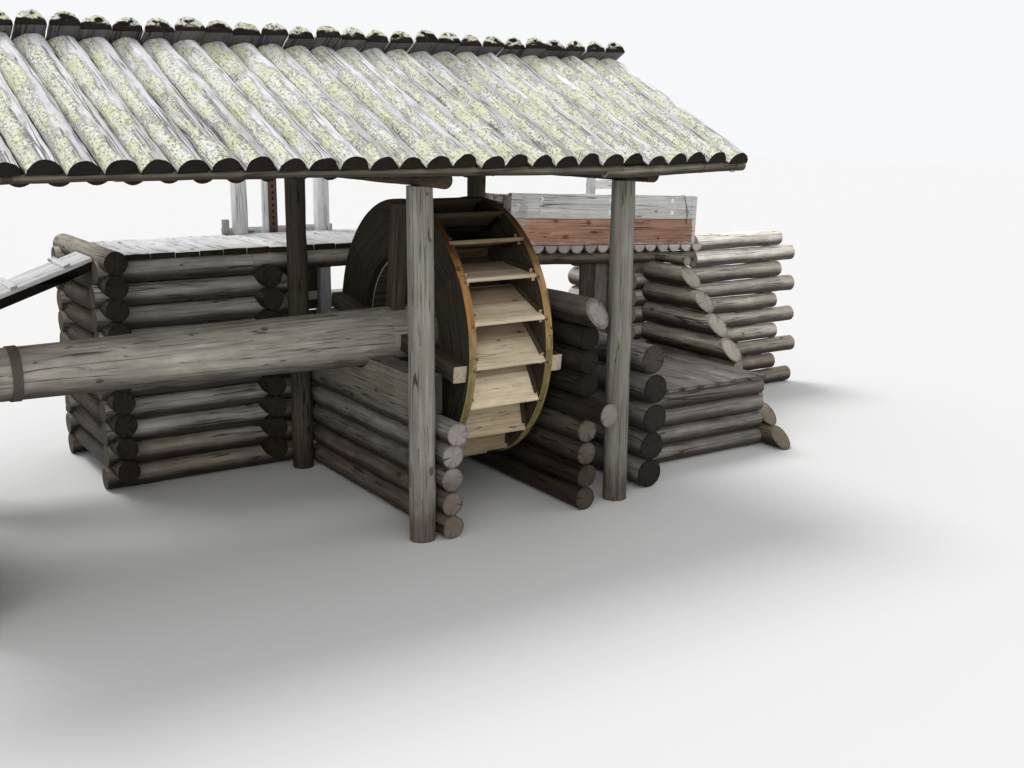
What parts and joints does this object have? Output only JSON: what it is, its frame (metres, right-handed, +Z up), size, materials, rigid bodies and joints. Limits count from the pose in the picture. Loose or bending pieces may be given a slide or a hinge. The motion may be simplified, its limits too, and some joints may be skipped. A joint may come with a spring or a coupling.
{
  "type": "timber water wheel plant",
  "caption": "Bucket water wheel on a long log shaft in a log pit under an open log roof, with dam crib, deck, sluice gate, spillway and a plank trough.",
  "frame": {"origin": "on the level floor under all the log walls and posts, straight below the middle of the wheel", "axes": "+Z up; +X along the wheel shaft and the roof ridge, from the far bearing to the spillway; +Y upstream, towards the dam"},
  "size_m": [9.6376, 4.1088, 3.4344],
  "materials": {
    "post_wood": "weathered round timber, checked, grey-brown",
    "shade_wood": "dry shaded round timber",
    "roof_wood": "grey half logs, dark end grain",
    "lichen_wood": "silver-grey half logs with yellow-green lichen",
    "pole_wood": "pale weathered pole",
    "crib_wood": "weathered grey-tan log",
    "silver_wood": "silver-white sun-bleached sawn timber",
    "wet_wood": "dark wet timber",
    "pit_wood": "damp grey log",
    "hewn_wood": "hewn timber",
    "trough_wood": "sawn planks, the upper grey, the lower red-brown",
    "trough_floor_wood": "half logs with pale end rings",
    "red_wood": "red-brown damp boards",
    "shaft_wood": "long checked log, dark below",
    "wheel_dark_wood": "dark damp timber",
    "wheel_rim_wood": "honey-coloured sawn rim, dark faces",
    "wheel_board_wood": "pale sawn boards with knots",
    "rusty_iron": "rusted iron",
    "zinc_steel": "dull galvanised"
  },
  "bodies": {
    "plant": {"posts": "post_wood", "tie_beams": "shade_wood", "king_posts": "shade_wood", "ridge_beam": "shade_wood", "plates": "shade_wood", "roof_under": "roof_wood", "roof_over": "lichen_wood", "eave_poles": "pole_wood", "crib_logs_x": "crib_wood", "crib_logs_y": "crib_wood", "deck_bearers": "crib_wood", "deck_posts": "crib_wood", "deck_planks": "silver_wood", "ramp_planks": "silver_wood", "ramp_battens": "silver_wood", "ramp_foot": "crib_wood", "gate_posts": "silver_wood", "gate_rail": "silver_wood", "pit_wall": "pit_wood", "bearer_near": "hewn_wood", "pier_wall": "pit_wood", "bearing_right": "hewn_wood", "spill_wall": "wet_wood", "spill_floor": "wet_wood", "spill_sills": "wet_wood", "wing_wall": "crib_wood", "wing_cap": "pole_wood", "crest_logs": "crib_wood", "side_frame": "silver_wood", "trough_sides": "trough_wood", "trough_floor": "trough_floor_wood", "trough_bearers": "pole_wood", "trough_end": "red_wood", "trough_posts": "crib_wood", "trough_bolts": "zinc_steel", "bulkhead": "red_wood", "far_wall": "pit_wood", "bearer_far": "hewn_wood", "bearing_far": "hewn_wood"},
    "wheel": {"shaft": "shaft_wood", "gudgeons": "rusty_iron", "shaft_bands": "rusty_iron", "arms": "wheel_dark_wood", "shrouds": "wheel_rim_wood", "sole_boards": "wheel_dark_wood", "risers": "wheel_board_wood", "floats": "wheel_board_wood", "cleats": "wheel_rim_wood"},
    "gate": {"gate_leaf": "wet_wood", "gate_stem": "silver_wood", "gate_rack": "rusty_iron"}
  },
  "joints": [
    {"name": "wheel_spin", "type": "hinge", "parent": "plant", "child": "wheel", "pos_m": [0, 0, 1.242], "axis": [1, 0, 0], "continuous": true},
    {"name": "gate_lift", "type": "slide", "parent": "plant", "child": "gate", "axis": [0, 0, 1], "range_m": [0, 0.3]}
  ]
}
